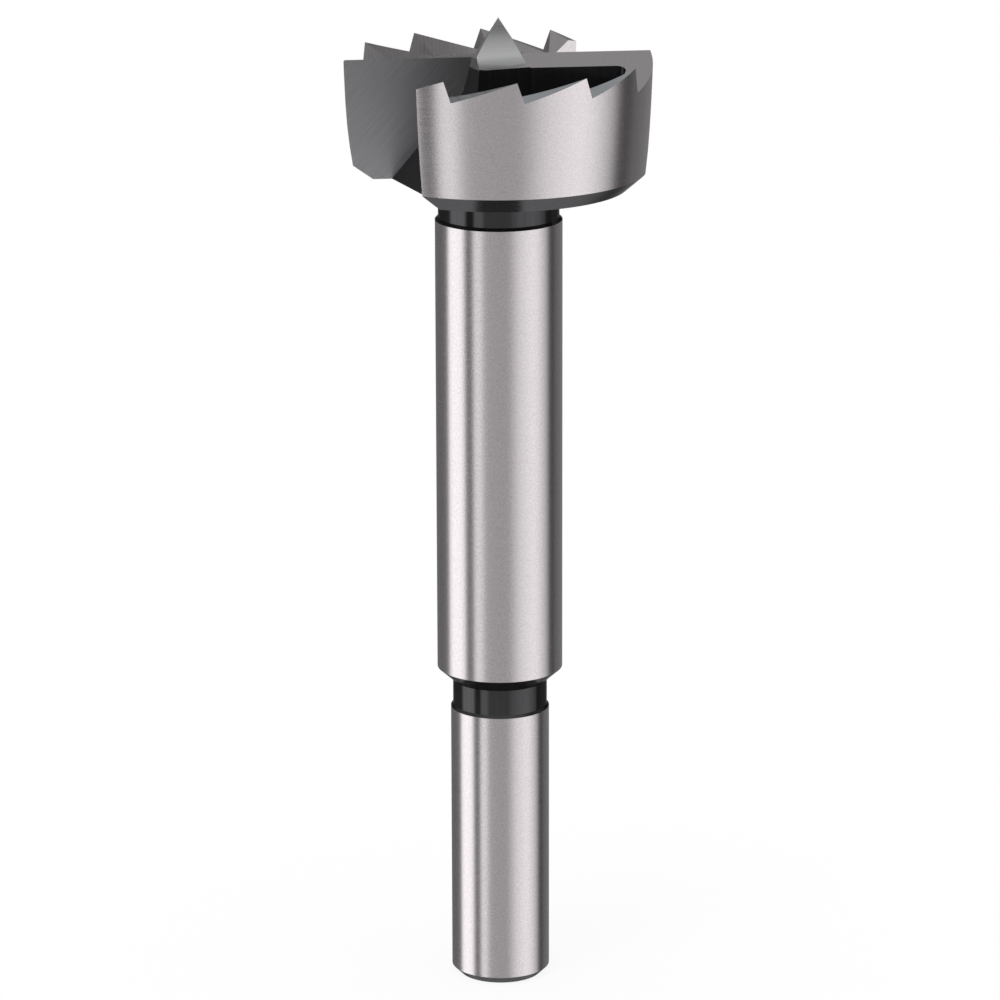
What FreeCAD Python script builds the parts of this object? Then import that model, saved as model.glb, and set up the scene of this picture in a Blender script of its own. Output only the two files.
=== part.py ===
import FreeCAD, Part
import math
import os
import re

import Sketcher

# Saw-tooth Forstner bit, right-hand cut, one solid of tool steel.
# It stands on its shank end: the origin is the centre of that end, +Z runs up to the centre point,
# and the two cutting lips lie along X. Lengths are in millimetres and angles in degrees.
# The head is the same after half a turn, so each cut is made once and repeated by a polar pattern.

SIZES = (
    # shank, body and necks, from the bottom up
    ("shank_d", 10.0, "shank diameter"),
    ("shank_break", 0.8, "chamfer at the shank end"),
    ("shank_len", 28.7, "bright length of the shank"),
    ("groove_d", 9.56, "diameter of the groove above the shank"),
    ("groove_break", 0.28, "height of the small chamfer into the groove"),
    ("groove_len", 2.34, "straight length of the groove"),
    ("shoulder_len", 1.65, "height of the cone from the groove to the body"),
    ("body_d", 12.7, "body diameter"),
    ("body_len", 46.33, "straight length of the body"),
    ("body_break", 0.3, "height of the chamfer at the top of the body"),
    ("neck_d", 12.08, "neck diameter under the head"),
    ("neck_len", 3.07, "straight length of the neck"),
    # head
    ("head_d", 30.5, "cutting diameter, over the tooth tips"),
    ("head_len", 13.05, "height from the underside of the head to the tips"),
    ("head_relief", 0.6, "how far the side of the head leans in at its foot"),
    ("crown_r", 200.0, "radius of the slight bulge of the side"),
    ("foot_wide", 1.78, "width of the chamfer under the head"),
    ("foot_len", 1.55, "height of the chamfer under the head"),
    ("rim_wall", 2.55, "thickness of the toothed rim at the tips"),
    ("bevel_slope", 39.4, "slope of the bevel inside the tips"),
    # lips
    ("lip_ahead", 0.84, "distance of each lip in front of the centre line"),
    ("land_slope", 15.3, "fall of the land behind each lip"),
    ("land_wide", 3.26, "width of the land at the lip"),
    ("rake_angle", 22.0, "hook of the face under each lip"),
    # saw teeth
    ("tooth_first", 63.42, "angle from a lip to the first tooth that follows it"),
    ("tooth_pitch", 27.0, "angle between teeth"),
    ("tooth_count", 4, "teeth on each side, with the last one beside the land"),
    ("tooth_lead", 2.82, "angle from a tooth tip to the foot of its leading face"),
    ("tooth_deep", 2.05, "depth of the gap in front of a tooth"),
    ("tooth_sweep", 31.2, "how far the leading face is swept back from the radius"),
    ("tooth_reach", 3.7, "reach of a tooth gap inward from its tip"),
    ("last_lead", 0.6, "lean of the last tooth's leading face"),
    # chip gullets
    ("gullet_turn", 15.6, "angle of the gullet from square to the lip"),
    ("gullet_root", 2.68, "distance of the gullet's wall from the centre line at the lip"),
    ("gullet_wall", 80.0, "slope of the gullet's wall on the rake face"),
    ("gullet_floor", 56.0, "slope of the gullet's floor on the rake face"),
    ("gullet_foot", 10.2, "where the floor leaves the underside, from the centre line"),
    ("gullet_blend", 2.6, "radius between the floor and the wall"),
    ("gullet_over", 0.8, "how far the gullet's wall runs up above the lip"),
    ("rim_start", 52.32, "angle from a lip to the end of the rim that follows it"),
    ("rim_skew", 24.5, "turn of the rim's end face from the radius"),
    # pockets behind the lips
    ("pocket_deep", 5.2, "depth of the pocket behind each lip"),
    ("pocket_blend", 0.9, "radius of the pocket's outer corner"),
    ("hub_half", 2.9, "half length of the hub along the lips"),
    ("hub_step", 0.15, "step from the land's edge back to the hub's wall"),
    ("hub_turn", 6.5, "turn of the hub's wall from the lip"),
    # centre point
    ("point_len", 3.76, "height of the centre point above the lips"),
    ("point_grow", 0.62, "half width that the point gains for each millimetre down"),
    ("face_turn", 13.45, "turn of the hollow faces from the lips"),
    ("side_turn", 3.75, "turn of the flat faces from square to the lips"),
    ("tip_lean", 6.8, "lean of the hollow faces at the tip"),
    ("hollow_r", 7.95, "radius of the hollow faces"),
    ("point_root", 1.9, "how far the point is let into the head below the lips"),
    # how far cuts run past the metal
    ("past", 3.0, "run of a cut past the outside"),
    ("rise", 0.5, "start of a cut above the tips"),
    ("hub_reach", 2.4, "how far each land runs on past the centre line, under the point"),
    ("turn_past", 2.5, "angle that a turned cut runs past its ends"),
)

# Values that follow from the sizes above, each a formula on them.
DERIVED = (
    ("z_groove", "shank_len + groove_break"),
    ("z_shoulder", "z_groove + groove_len"),
    ("z_body", "z_shoulder + shoulder_len"),
    ("z_neck", "z_body + body_len + body_break"),
    ("z_under", "z_neck + neck_len"),
    ("z_foot", "z_under + foot_len"),
    ("z_lip", "z_under + head_len"),
    ("z_tip", "z_lip + point_len"),
    ("head_r", "head_d / 2"),
    ("foot_r", "head_r - head_relief"),
    ("under_r", "foot_r - foot_wide"),
    ("bore_r", "head_r - rim_wall"),
    ("past_r", "head_r + past"),
    # the foot of the rim, where the bore may end on the underside or on the chamfer, but not on its edge
    ("foot_tilt", "foot_len / foot_wide"),
    ("rim_inner_z", "z_under + max(0; bore_r - under_r) * foot_tilt"),
    ("rim_flat_r", "max(under_r; bore_r + 0.1)"),
    ("rim_flat_z", "z_under + (rim_flat_r - under_r) * foot_tilt"),
    # lands: the last tooth's leading face runs along the lip, from its tip down to the land
    ("last_turn", "tooth_first + (tooth_count - 1) * tooth_pitch"),
    ("last_tip_y", "0 - head_r * sin(last_turn * 1 deg)"),
    ("last_foot_y", "last_tip_y + last_lead"),
    ("land_fall", "(lip_ahead - last_foot_y) * tan(land_slope * 1 deg)"),
    ("last_top_y", "last_tip_y - last_lead * rise / land_fall"),
    # pockets
    ("wall_y", "lip_ahead - land_wide"),
    ("hub_y", "wall_y + hub_step"),
    ("corner_y", "wall_y - pocket_blend"),
    ("corner_x", "sqrt((bore_r - pocket_blend)^2 - corner_y^2)"),
    ("corner_out", "bore_r / (bore_r - pocket_blend)"),
    ("floor_run", "(head_len - pocket_deep) / cos(rake_angle * 1 deg) / tan(gullet_floor * 1 deg)"),
    ("mouth_x", "gullet_foot - floor_run"),
    ("mouth_y", "hub_y - (mouth_x + hub_half) * tan(hub_turn * 1 deg)"),
    # gullets, on the rake face: x from the centre line, y down from the lip
    ("sink", "head_len / cos(rake_angle * 1 deg)"),
    ("wall_drop", "(sink * cos(gullet_floor * 1 deg) - (gullet_foot - gullet_root)"
                  " * sin(gullet_floor * 1 deg)) / sin(gullet_wall * 1 deg - gullet_floor * 1 deg)"),
    ("blend_run", "gullet_blend * tan((gullet_wall - gullet_floor) * 0.5 deg)"),
    ("meet_x", "gullet_root + wall_drop * cos(gullet_wall * 1 deg)"),
    ("meet_y", "wall_drop * sin(gullet_wall * 1 deg)"),
    ("blend_out_x", "meet_x + blend_run * cos(gullet_floor * 1 deg)"),
    ("blend_out_y", "meet_y + blend_run * sin(gullet_floor * 1 deg)"),
    ("blend_in_x", "meet_x - blend_run * cos(gullet_wall * 1 deg)"),
    ("blend_in_y", "meet_y - blend_run * sin(gullet_wall * 1 deg)"),
    # saw teeth: a gap is drawn square to its leading face, from the tip behind it
    ("tooth_half", "tooth_pitch / 2"),
    ("gap_skew", "tooth_sweep - tooth_half"),
    ("lead_turn", "tooth_half - tooth_lead / 2"),
    ("lead_chord", "head_d * sin(tooth_lead * 0.5 deg)"),
    ("gap_wide", "head_d * sin(tooth_half * 1 deg) * cos(gap_skew * 1 deg)"),
    ("gap_foot", "lead_chord * cos((lead_turn + gap_skew) * 1 deg)"),
    ("gap_grow", "rise / tooth_deep"),
    ("gap_turn", "180 + tooth_first - tooth_pitch"),
    # centre point: the hollow face is an arc that starts at the tip and leans out further down,
    # and that ends before it lies flat
    ("point_drop", "min(point_len + point_root; hollow_r * (sin(70 deg) - sin(tip_lean * 1 deg)))"),
    ("hollow_end", "asin(sin(tip_lean * 1 deg) + point_drop / hollow_r)"),
    ("hollow_out", "hollow_r * (cos(tip_lean * 1 deg) - cos(hollow_end))"),
)

NAMES = {entry[0] for entry in SIZES + DERIVED}


def make_sheet(doc):
    """Write every driving size and every formula into one spreadsheet."""
    sheet = doc.addObject("Spreadsheet::Sheet", "Sizes")
    rows = [(name, str(value), meaning) for name, value, meaning in SIZES]
    rows += [(name, "=" + formula, "follows from the sizes above") for name, formula in DERIVED]
    for number, (name, content, meaning) in enumerate(rows, start=1):
        sheet.set("A%d" % number, meaning)
        sheet.set("B%d" % number, content)
        sheet.setAlias("B%d" % number, name)
    doc.recompute()
    return sheet


def sized(formula):
    """Point the size names in a formula at the spreadsheet."""
    def pointed(word):
        name = word.group()
        return "Sizes." + name if name in NAMES else name

    return re.sub(r"[a-z_]+", pointed, formula)


def bind(item, places):
    """Bind each property of an object to its formula."""
    for place, formula in places.items():
        item.setExpression(place, sized(formula))


class Drawing:
    """A sketch on a plane, whose corners and radii are each held by a formula on the sizes."""

    def __init__(self, body, name, plane, turn=None, base=None):
        """turn is (axis, angle formula) and base three formulas, both in the plane's own axes."""
        self.sketch = body.newObject("Sketcher::SketchObject", name)
        support = next(item for item in body.Origin.OriginFeatures if item.Role == plane)
        self.sketch.AttachmentSupport = [(support, "")]
        self.sketch.MapMode = "FlatFace"
        if turn:
            axis, angle = turn
            self.sketch.AttachmentOffset = FreeCAD.Placement(FreeCAD.Vector(), FreeCAD.Rotation(axis, 10))
            bind(self.sketch, {"AttachmentOffset.Rotation.Angle": angle})
        for axis_name, formula in zip("xyz", base or ()):
            bind(self.sketch, {"AttachmentOffset.Base." + axis_name: formula})

    def value(self, formula):
        """Work out a formula with the sizes as they are."""
        found = self.sketch.evalExpression(sized(formula))
        return float(getattr(found, "Value", found))

    def hold(self, constraint, formula):
        """Add a constraint and bind it to its formula."""
        index = self.sketch.addConstraint(constraint)
        bind(self.sketch, {"Constraints[%d]" % index: formula})

    def outline(self, corners, arcs=None):
        """Close an anticlockwise outline round the corners, each given as two formulas.

        arcs gives the radius of each edge that is an arc bulging outward, by the edge's number.
        """
        arcs = arcs or {}
        spots = [FreeCAD.Vector(self.value(x), self.value(y), 0) for x, y in corners]
        for edge, start in enumerate(spots):
            end = spots[(edge + 1) % len(spots)]
            if edge in arcs:
                self.sketch.addGeometry(outward_arc(start, end, self.value(arcs[edge])), False)
            else:
                self.sketch.addGeometry(Part.LineSegment(start, end), False)
        for edge, (x, y) in enumerate(corners):
            before = (edge - 1) % len(corners)
            self.sketch.addConstraint(Sketcher.Constraint("Coincident", before, 2, edge, 1))
            self.hold(Sketcher.Constraint("DistanceX", -1, 1, edge, 1, spots[edge].x), x)
            self.hold(Sketcher.Constraint("DistanceY", -1, 1, edge, 1, spots[edge].y), y)
        for edge, radius in arcs.items():
            self.hold(Sketcher.Constraint("Radius", edge, self.value(radius)), radius)
        return self.sketch


def outward_arc(start, end, radius):
    """The anticlockwise arc of a radius from start to end, under half a turn."""
    chord = end - start
    inset = math.sqrt(radius ** 2 - (chord.Length / 2) ** 2)
    left = FreeCAD.Vector(-chord.y, chord.x, 0).normalize()
    centre = (start + end) * 0.5 + left * inset
    circle = Part.Circle(centre, FreeCAD.Vector(0, 0, 1), radius)
    return Part.ArcOfCircle(circle, circle.parameter(start), circle.parameter(end))


def half_turn(body, features, name):
    """Repeat features on the other side of the head."""
    pattern = body.newObject("PartDesign::PolarPattern", name)
    pattern.Originals = features
    pattern.Axis = (next(item for item in body.Origin.OriginFeatures if item.Role == "Z_Axis"), [""])
    pattern.Occurrences = 2
    pattern.Angle = 360
    body.Tip = pattern
    return pattern


def cut(body, name, sketch, length, reverse=False):
    """A pocket of a sketch, against its normal, or along it if reversed."""
    pocket = body.newObject("PartDesign::Pocket", name)
    pocket.Profile = sketch
    pocket.Type = "Length"
    pocket.Reversed = reverse
    bind(pocket, {"Length": length})
    return pocket


UPRIGHT = FreeCAD.Vector(0, 1, 0)
LEVEL = FreeCAD.Vector(1, 0, 0)
FORWARD = FreeCAD.Vector(0, 0, 1)


def turned_blank(body):
    """Shank, groove, body, neck and the plain head, turned in one go."""
    profile = Drawing(body, "BlankProfile", "XZ_Plane").outline((
        ("0", "0"),
        ("shank_d / 2 - shank_break", "0"),
        ("shank_d / 2", "shank_break"),
        ("shank_d / 2", "shank_len"),
        ("groove_d / 2", "z_groove"),
        ("groove_d / 2", "z_shoulder"),
        ("body_d / 2", "z_body"),
        ("body_d / 2", "z_body + body_len"),
        ("neck_d / 2", "z_neck"),
        ("neck_d / 2", "z_under"),
        ("under_r", "z_under"),
        ("foot_r", "z_foot"),
        ("head_r", "z_lip"),
        ("0", "z_lip"),
    ), arcs={11: "crown_r"})
    blank = body.newObject("PartDesign::Revolution", "Blank")
    blank.Profile = profile
    blank.ReferenceAxis = (profile, ["V_Axis"])
    blank.Angle = 360
    return blank


def lands(body):
    """The sloping land behind each lip, out to the last tooth, whose leading face it leaves standing."""
    section = Drawing(body, "LandSection", "YZ_Plane", base=("0", "0", "0 - hub_reach")).outline((
        ("lip_ahead", "z_lip"),
        ("lip_ahead", "z_lip + rise"),
        ("last_top_y", "z_lip + rise"),
        ("last_foot_y", "z_lip - land_fall"),
    ))
    land = cut(body, "Land", section, "hub_reach + past_r", reverse=True)
    return half_turn(body, [land], "Lands")


def centre_point(doc):
    """The four-sided point: two flat faces and two hollow-ground ones, as a body to be joined on."""
    point = doc.addObject("PartDesign::Body", "CentrePoint")
    wedge = Drawing(point, "PointWedge", "XZ_Plane", turn=(UPRIGHT, "0 - side_turn")).outline((
        ("0", "z_tip"),
        ("0 - (point_drop * point_grow)", "z_tip - point_drop"),
        ("point_drop * point_grow", "z_tip - point_drop"),
    ))
    blank = point.newObject("PartDesign::Pad", "PointBlank")
    blank.Profile = wedge
    blank.Midplane = True
    # twice as deep as the finished point, so that both hollow faces are cut from solid metal
    bind(blank, {"Length": "4 * (hollow_out + rise)"})
    hollow = Drawing(point, "PointHollow", "YZ_Plane", turn=(UPRIGHT, "face_turn")).outline((
        ("0 - (hollow_out + past)", "z_tip + rise"),
        ("0 - (hollow_out + past)", "z_tip - point_drop"),
        ("0 - hollow_out", "z_tip - point_drop"),
        ("0", "z_tip"),
        ("0", "z_tip + rise"),
    ), arcs={2: "hollow_r"})
    face = point.newObject("PartDesign::Pocket", "HollowFace")
    face.Profile = hollow
    face.Type = "ThroughAll"
    face.Midplane = True
    half_turn(point, [face], "HollowFaces")
    return point


def gullets(body):
    """The chip gullet under each lip: its rake face, wall, floor and the radius between them."""
    outline = Drawing(body, "GulletOutline", "XZ_Plane", turn=(LEVEL, "rake_angle"),
                      base=("0", "z_lip", "lip_ahead")).outline((
        ("0 - (gullet_root - gullet_over / tan(gullet_wall * 1 deg))", "gullet_over"),
        ("0 - past_r", "gullet_over"),
        ("0 - past_r", "0 - (sink + past)"),
        ("0 - (gullet_foot + past / tan(gullet_floor * 1 deg))", "0 - (sink + past)"),
        ("0 - blend_out_x", "0 - blend_out_y"),
        ("0 - blend_in_x", "0 - blend_in_y"),
    ), arcs={4: "gullet_blend"})
    gullet = cut(body, "Gullet", outline, "head_d")
    gullet.AlongSketchNormal = False
    gullet.UseCustomVector = True
    bind(gullet, {
        "Direction.x": "sin(gullet_turn * 1 deg)",
        "Direction.y": "0 - cos(gullet_turn * 1 deg)",
        "Direction.z": "0",
    })
    return half_turn(body, [gullet], "Gullets")


def rims(body):
    """The toothed rim between each gullet's window and the next lip, with its skewed end face."""
    section = Drawing(body, "RimSection", "XZ_Plane",
                      turn=(UPRIGHT, "180 + rim_start - turn_past")).outline((
        ("bore_r", "rim_inner_z"),
        ("rim_flat_r", "rim_flat_z"),
        ("foot_r", "z_foot"),
        ("head_r", "z_lip"),
        ("bore_r", "z_lip"),
    ), arcs={2: "crown_r"})
    rim = body.newObject("PartDesign::Revolution", "Rim")
    rim.Profile = section
    rim.ReferenceAxis = (section, ["V_Axis"])
    bind(rim, {"Angle": "last_turn - tooth_pitch - rim_start + turn_past"})
    half_turn(body, [rim], "Rims")
    run = "(rim_wall + rise)"
    skew = "tan(rim_skew * 1 deg)"
    plan = Drawing(body, "RimEndPlan", "XY_Plane", turn=(FORWARD, "180 + rim_start"),
                   base=("0", "0", "z_lip + rise")).outline((
        ("head_r + rise", "0 - rise * %s" % skew),
        ("head_r - %s" % run, "%s * %s" % (run, skew)),
        ("head_r - %s" % run, "0 - past"),
        ("head_r + rise", "0 - past"),
    ))
    end = cut(body, "RimEnd", plan, "head_len + past")
    return half_turn(body, [end], "RimEnds")


def pockets(body):
    """The pocket behind each lip: land's edge, hub's wall, the bore of the rim and a rounded corner."""
    plan = Drawing(body, "PocketPlan", "XY_Plane", base=("0", "0", "z_tip + rise")).outline((
        ("0 - mouth_x", "mouth_y"),
        ("0 - mouth_x", "0 - sqrt(bore_r^2 - mouth_x^2)"),
        ("corner_x * corner_out", "corner_y * corner_out"),
        ("corner_x", "wall_y"),
        ("hub_half", "wall_y"),
        ("hub_half", "hub_y"),
    ), arcs={1: "bore_r", 2: "pocket_blend"})
    pocket = cut(body, "Pocket", plan, "point_len + rise + pocket_deep")
    return half_turn(body, [pocket], "Pockets")


def teeth(body):
    """The gaps between the saw teeth: one gap, once for each tooth, on both sides of the head."""
    out = "(gap_turn + tooth_sweep) * 1 deg"
    gap = Drawing(body, "ToothGap", "XZ_Plane", turn=(UPRIGHT, "gap_turn + tooth_sweep + 90"), base=(
        "head_r * cos(gap_turn * 1 deg) + past * cos(%s)" % out,
        "z_lip",
        "0 - (head_r * sin(gap_turn * 1 deg) + past * sin(%s))" % out,
    )).outline((
        ("gap_foot", "0 - tooth_deep"),
        ("gap_wide + (gap_wide - gap_foot) * gap_grow", "rise"),
        ("0 - gap_foot * gap_grow", "rise"),
    ))
    tooth = cut(body, "ToothCut", gap, "past + tooth_reach")
    body.Document.recompute()
    teeth_round = body.newObject("PartDesign::MultiTransform", "Teeth")
    teeth_round.Originals = [tooth]
    axis = next(item for item in body.Origin.OriginFeatures if item.Role == "Z_Axis")
    row = body.newObject("PartDesign::PolarPattern", "ToothRow")
    row.Axis = (axis, [""])
    bind(row, {"Occurrences": "tooth_count", "Angle": "(tooth_count - 1) * tooth_pitch"})
    sides = body.newObject("PartDesign::PolarPattern", "ToothSides")
    sides.Axis = (axis, [""])
    sides.Occurrences = 2
    sides.Angle = 360
    teeth_round.Transformations = [row, sides]
    body.Tip = teeth_round
    return teeth_round


def bevels(body):
    """The bevel inside the tips, from the end of the rim to past the last tooth."""
    slope = "tan(bevel_slope * 1 deg)"
    section = Drawing(body, "BevelSection", "XZ_Plane",
                      turn=(UPRIGHT, "180 + rim_start - turn_past")).outline((
        ("bore_r - rise", "z_lip - (rim_wall + rise) * %s" % slope),
        ("head_r + rise", "z_lip + rise * %s" % slope),
        ("bore_r - rise", "z_lip + rise * %s" % slope),
    ))
    bevel = body.newObject("PartDesign::Groove", "Bevel")
    bevel.Profile = section
    bevel.ReferenceAxis = (section, ["V_Axis"])
    bind(bevel, {"Angle": "last_turn - rim_start + 2 * turn_past"})
    return half_turn(body, [bevel], "Bevels")


def check(doc, body):
    """Stop if any object failed or the bit isn't one sound solid."""
    for item in doc.Objects:
        if "Invalid" in item.State or "Error" in item.State:
            raise RuntimeError("%s failed: %s" % (item.Name, item.State))
    shape = body.Shape
    if shape.isNull() or not shape.isValid() or len(shape.Solids) != 1:
        raise RuntimeError("the bit is not one valid solid")


def main():
    doc = FreeCAD.newDocument("ForstnerBit")
    make_sheet(doc)
    body = doc.addObject("PartDesign::Body", "Bit")
    body.Label = "forstner_bit"
    turned_blank(body)
    lands(body)
    point = centre_point(doc)
    doc.recompute()
    join = body.newObject("PartDesign::Boolean", "PointJoin")
    join.Type = "Fuse"
    join.setObjects([point])
    body.Tip = join
    # each step after the blank must change the volume the right way: True where it takes metal away
    steps = ((gullets, True), (rims, False), (pockets, True), (teeth, True), (bevels, True))
    doc.recompute()
    volume = body.Shape.Volume
    for step, removes in steps:
        step(body)
        doc.recompute()
        if (body.Shape.Volume < volume) != removes:
            raise RuntimeError("%s did not change the bit as it should" % step.__name__)
        volume = body.Shape.Volume
    check(doc, body)
    os.makedirs("parts", exist_ok=True)
    body.Shape.exportStep("parts/%s.step" % body.Label)
    box = body.Shape.BoundBox
    print("forstner_bit: %.1f x %.1f x %.1f mm, %.0f cubic mm, %d faces"
          % (box.XLength, box.YLength, box.ZLength, volume, len(body.Shape.Faces)))


main()
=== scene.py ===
"""A saw-tooth Forstner bit on a pale studio floor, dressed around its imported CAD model."""

import logging
import math
from collections.abc import Mapping, Sequence
from dataclasses import dataclass, field
from enum import Enum

import bmesh
import bpy
from mathutils import Matrix, Vector


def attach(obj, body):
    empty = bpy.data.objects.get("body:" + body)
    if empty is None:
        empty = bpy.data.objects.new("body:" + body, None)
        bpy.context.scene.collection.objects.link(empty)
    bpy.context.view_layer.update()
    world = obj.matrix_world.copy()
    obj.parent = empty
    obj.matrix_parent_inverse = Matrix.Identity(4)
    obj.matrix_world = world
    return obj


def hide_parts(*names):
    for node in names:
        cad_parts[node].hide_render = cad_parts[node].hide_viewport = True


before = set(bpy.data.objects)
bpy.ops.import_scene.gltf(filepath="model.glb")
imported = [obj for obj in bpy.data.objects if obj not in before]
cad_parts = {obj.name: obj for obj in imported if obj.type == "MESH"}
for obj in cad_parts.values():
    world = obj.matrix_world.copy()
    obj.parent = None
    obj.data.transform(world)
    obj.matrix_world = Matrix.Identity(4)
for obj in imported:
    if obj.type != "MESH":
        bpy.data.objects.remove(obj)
LOG = logging.getLogger("forstner_bit")
MM = 0.001
MICRON = 1e-6
# corners that lie closer than this, in metres, are one corner
WELD = 1e-6
CAD_NODE = "forstner_bit"
# the face attribute that marks the stem's black faces
MARK = "blackened"

Colour = tuple[float, float, float, float]
Value = bpy.types.NodeSocket | bpy.types.ID | Sequence[float] | float | int | bool | str


def linear(hexcode: str) -> Colour:
    """Turns an sRGB hex value into the linear colour that a shader takes.

    Args:
        hexcode: Six hex digits after a hash, such as "#d6d0d0".

    Returns:
        Red, green, blue and alpha, each from 0 to 1.
    """
    parts = [int(hexcode[i : i + 2], 16) / 255 for i in (1, 3, 5)]
    red, green, blue = (p / 12.92 if p <= 0.04045 else ((p + 0.055) / 1.055) ** 2.4 for p in parts)
    return red, green, blue, 1.0


def add_node(
    tree: bpy.types.NodeTree,
    kind: str,
    inputs: Mapping[str | int, Value] | None = None,
    **settings: object,
) -> bpy.types.Node:
    """Adds one node to a shader or geometry tree.

    Args:
        tree: The tree that gets the node.
        kind: The node's type name.
        inputs: Values and links by input name or number; a socket is linked, anything else is set.
        **settings: Properties of the node itself.

    Returns:
        The new node.
    """
    node = tree.nodes.new(kind)
    for name, value in settings.items():
        setattr(node, name, value)
    for key, value in (inputs or {}).items():
        if isinstance(value, bpy.types.NodeSocket):
            tree.links.new(value, node.inputs[key])
        else:
            node.inputs[key].default_value = value
    return node


def per_metre(size_mm: float) -> float:
    """Gives the noise scale for features of one size.

    Args:
        size_mm: The size of one feature, in millimetres.

    Returns:
        The scale, in features a metre.
    """
    return 1 / (size_mm * MM)


@dataclass(frozen=True)
class Finish:
    """One finish of the tool, the base of each of its metals.

    Each finish has a pattern, which runs from a dark tint to a light one and from smooth to rough.
    The spread is how far from its middle the pattern's noise is counted.
    """

    name: str
    light: str
    dark: str
    smooth: float
    rough: float
    spread: float = 0.2

    def material(self) -> bpy.types.Material:
        """Gives the finish's material, made the first time that it is asked for.

        Returns:
            The material, with its nodes in place.
        """
        found = bpy.data.materials.get(self.name)
        if found:
            return found
        material = bpy.data.materials.new(self.name)
        material.use_nodes = True
        tree = material.node_tree
        tree.nodes.clear()
        place = add_node(tree, "ShaderNodeTexCoord").outputs["Object"]
        add_node(tree, "ShaderNodeOutputMaterial", {"Surface": self.shade(tree, place)})
        return material

    def shade(self, tree: bpy.types.NodeTree, place: bpy.types.NodeSocket) -> bpy.types.NodeSocket:
        """Builds the finish's shader; each finish has its own.

        Args:
            tree: The material's tree.
            place: Object coordinates in metres.

        Returns:
            The shader's output socket.
        """
        raise NotImplementedError

    def patterned(
        self,
        tree: bpy.types.NodeTree,
        tint_by: bpy.types.NodeSocket,
        dull_by: bpy.types.NodeSocket,
        inputs: Mapping[str, Value],
    ) -> bpy.types.NodeSocket:
        """Builds the shader of a metal whose tint and dullness follow its pattern.

        Args:
            tree: The material's tree.
            tint_by: The noise that chooses between the two tints.
            dull_by: The noise that chooses between smooth and rough.
            inputs: The shader's other inputs.

        Returns:
            The shader's output socket.
        """
        tint = add_node(
            tree,
            "ShaderNodeMix",
            {"Factor": tint_by, 6: linear(self.dark), 7: linear(self.light)},
            data_type="RGBA",
        ).outputs[2]
        dull = add_node(
            tree,
            "ShaderNodeMapRange",
            {
                "Value": dull_by,
                "From Min": 0.5 - self.spread,
                "From Max": 0.5 + self.spread,
                "To Min": self.smooth,
                "To Max": self.rough,
            },
        ).outputs["Result"]
        shader = {"Base Color": tint, "Roughness": dull, **inputs}
        return add_node(tree, "ShaderNodeBsdfPrincipled", shader).outputs["BSDF"]


@dataclass(frozen=True)
class GroundSteel(Finish):
    """Hardened tool steel, centreless ground and vapour blasted to an even satin.

    The wheel leaves fine rings round the bar, some a little duller than others. The round bar
    draws the lamps out into soft upright bands, and the blasted grit shows as a faint warm sparkle.
    Rings and grit are drawn coarser than they are, as the camera would lose them.
    """

    light: str = "#e8e2e4"
    dark: str = "#c0babc"
    smooth: float = 0.22
    rough: float = 0.25
    grit_mm: float = 0.16
    grit_um: float = 2.6
    ring_mm: float = 0.09
    ring_run_mm: float = 8.3333

    def shade(self, tree: bpy.types.NodeTree, place: bpy.types.NodeSocket) -> bpy.types.NodeSocket:
        """Builds the satin steel's shader.

        Args:
            tree: The material's tree.
            place: Object coordinates in metres.

        Returns:
            The shader's output socket.
        """
        grit = add_node(
            tree,
            "ShaderNodeTexNoise",
            {"Vector": place, "Scale": per_metre(self.grit_mm), "Detail": 3.0},
        ).outputs["Fac"]
        stretch = (per_metre(self.ring_run_mm), per_metre(self.ring_run_mm), per_metre(self.ring_mm))
        round_the_bar = add_node(
            tree, "ShaderNodeMapping", {"Vector": place, "Scale": stretch}
        ).outputs["Vector"]
        rings = add_node(
            tree, "ShaderNodeTexNoise", {"Vector": round_the_bar, "Scale": 1.0, "Detail": 2.0}
        ).outputs["Fac"]
        bump = add_node(
            tree,
            "ShaderNodeBump",
            {"Height": grit, "Distance": self.grit_um * MICRON, "Strength": 1.0},
        ).outputs["Normal"]
        return self.patterned(tree, grit, rings, {"Metallic": 1.0, "Normal": bump})


@dataclass(frozen=True)
class BlackOxide(Finish):
    """Black oxide, a thin layer of magnetite over the turned and milled faces.

    It is nearly black and smooth, so it mirrors the lamps faintly and in crisp edges. The tool
    drained upright after its bath, which leaves slightly duller streaks. The steel shows through
    the thin layer, and the edge is its tint when seen at a grazing angle.
    """

    light: str = "#505052"
    dark: str = "#404041"
    smooth: float = 0.08
    rough: float = 0.15
    spread: float = 0.15
    edge: str = "#acacac"
    steel_through: float = 0.85
    streak_mm: float = 0.3
    streak_run_mm: float = 16.667

    def shade(self, tree: bpy.types.NodeTree, place: bpy.types.NodeSocket) -> bpy.types.NodeSocket:
        """Builds the black layer's shader.

        Args:
            tree: The material's tree.
            place: Object coordinates in metres.

        Returns:
            The shader's output socket.
        """
        stretch = (per_metre(self.streak_mm), per_metre(self.streak_mm), per_metre(self.streak_run_mm))
        upright = add_node(
            tree, "ShaderNodeMapping", {"Vector": place, "Scale": stretch}
        ).outputs["Vector"]
        streaks = add_node(
            tree, "ShaderNodeTexNoise", {"Vector": upright, "Scale": 1.0, "Detail": 3.0}
        ).outputs["Fac"]
        layer = {"Metallic": self.steel_through, "Specular Tint": linear(self.edge)}
        return self.patterned(tree, streaks, streaks, layer)


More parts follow.
